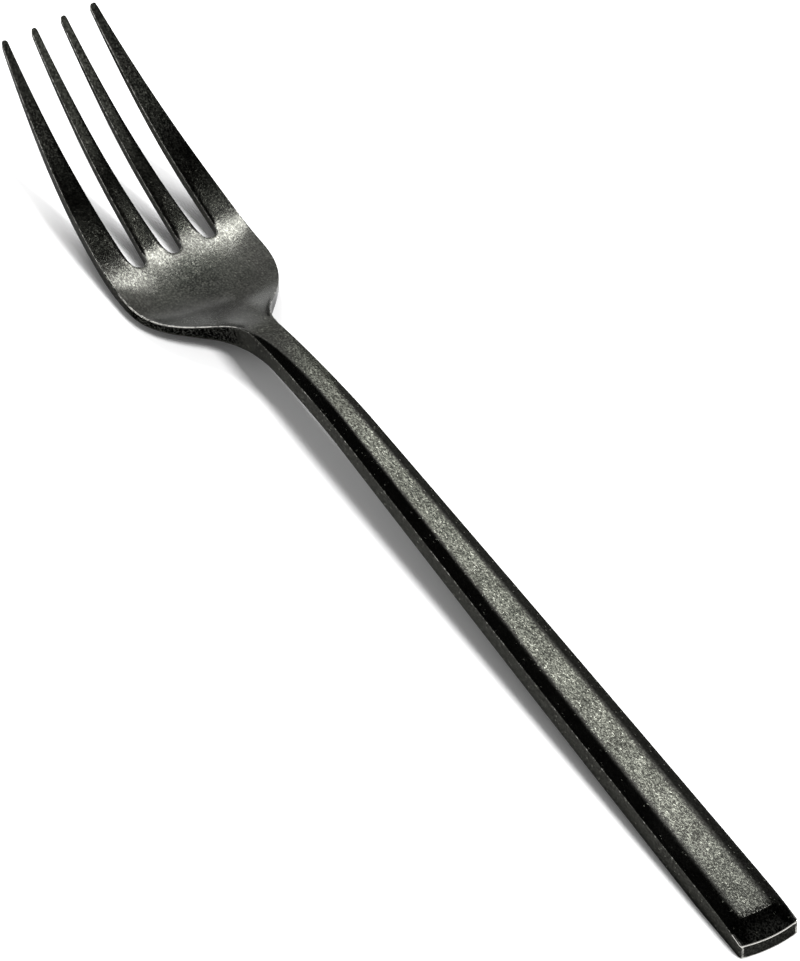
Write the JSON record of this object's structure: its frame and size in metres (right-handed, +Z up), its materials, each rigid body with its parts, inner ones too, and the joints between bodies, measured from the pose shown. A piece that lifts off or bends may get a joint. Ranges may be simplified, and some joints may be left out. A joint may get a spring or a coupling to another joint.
{
  "type": "dinner fork",
  "caption": "Black tumbled-steel dinner fork: tapering tines, shallow dished bowl, arched neck and a long square-edged handle with a flat top strip.",
  "frame": {"origin": "on the table plane, in the middle of the fork's length and width, with the fork lying tines up", "axes": "+X from the butt to the tips, +Y to the fork's left, +Z up"},
  "size_m": [0.21, 0.0254, 0.0219],
  "materials": {
    "black_steel": "black coating, tumbled to a fine sparkling grain with worn edges",
    "filler": "hardened filling compound, hidden inside the handle"
  },
  "bodies": {
    "root": {"fork_head": "black_steel", "handle_top_shell": "black_steel", "handle_bottom_shell": "black_steel", "handle_filler": "filler"}
  },
  "joints": []
}
